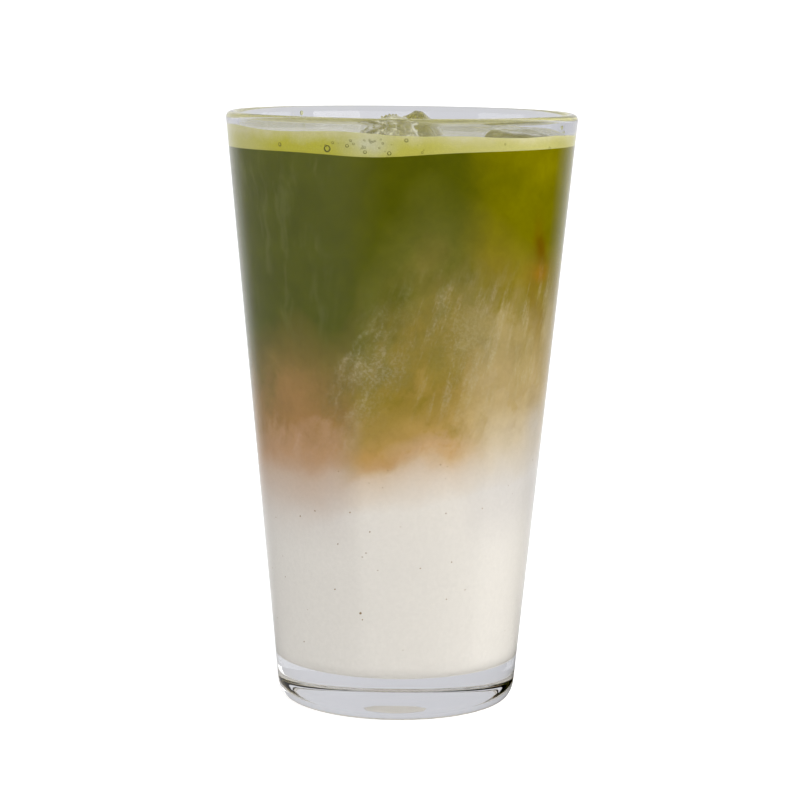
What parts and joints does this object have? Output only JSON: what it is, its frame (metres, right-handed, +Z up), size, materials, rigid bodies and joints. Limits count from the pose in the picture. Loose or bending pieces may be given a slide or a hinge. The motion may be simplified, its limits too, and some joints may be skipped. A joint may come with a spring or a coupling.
{
  "type": "iced matcha latte",
  "caption": "Iced matcha latte in a tapered clear tumbler: white milk below, a tan blended band, green matcha above, yellow-green froth and melting ice at the top.",
  "frame": {"origin": "centre of the tumbler's foot, on the table", "axes": "+Z up along the tumbler's axis, -Y towards the viewer of the picture, +X to the viewer's right"},
  "size_m": [0.088, 0.088, 0.15],
  "materials": {
    "clear_glass": "clear pressed soda glass, smooth and fire polished",
    "milk_white": "cold milk, opaque warm white, wet against the glass",
    "blend_tan": "milk and matcha part mixed, tan with swirls, wet against the glass",
    "matcha_green": "steeped matcha, olive green, wet against the glass",
    "froth_yellow": "fine wet froth, yellow green, with small bubbles",
    "ice_clear": "melting ice, clear to cloudy with trapped bubbles"
  },
  "bodies": {
    "root": {"glass_tumbler": "clear_glass", "milk_layer": "milk_white", "blended_layer": "blend_tan", "matcha_layer": "matcha_green", "froth_layer": "froth_yellow", "ice_cube_front": "ice_clear", "ice_cube_middle": "ice_clear", "ice_cube_right": "ice_clear"}
  },
  "joints": []
}
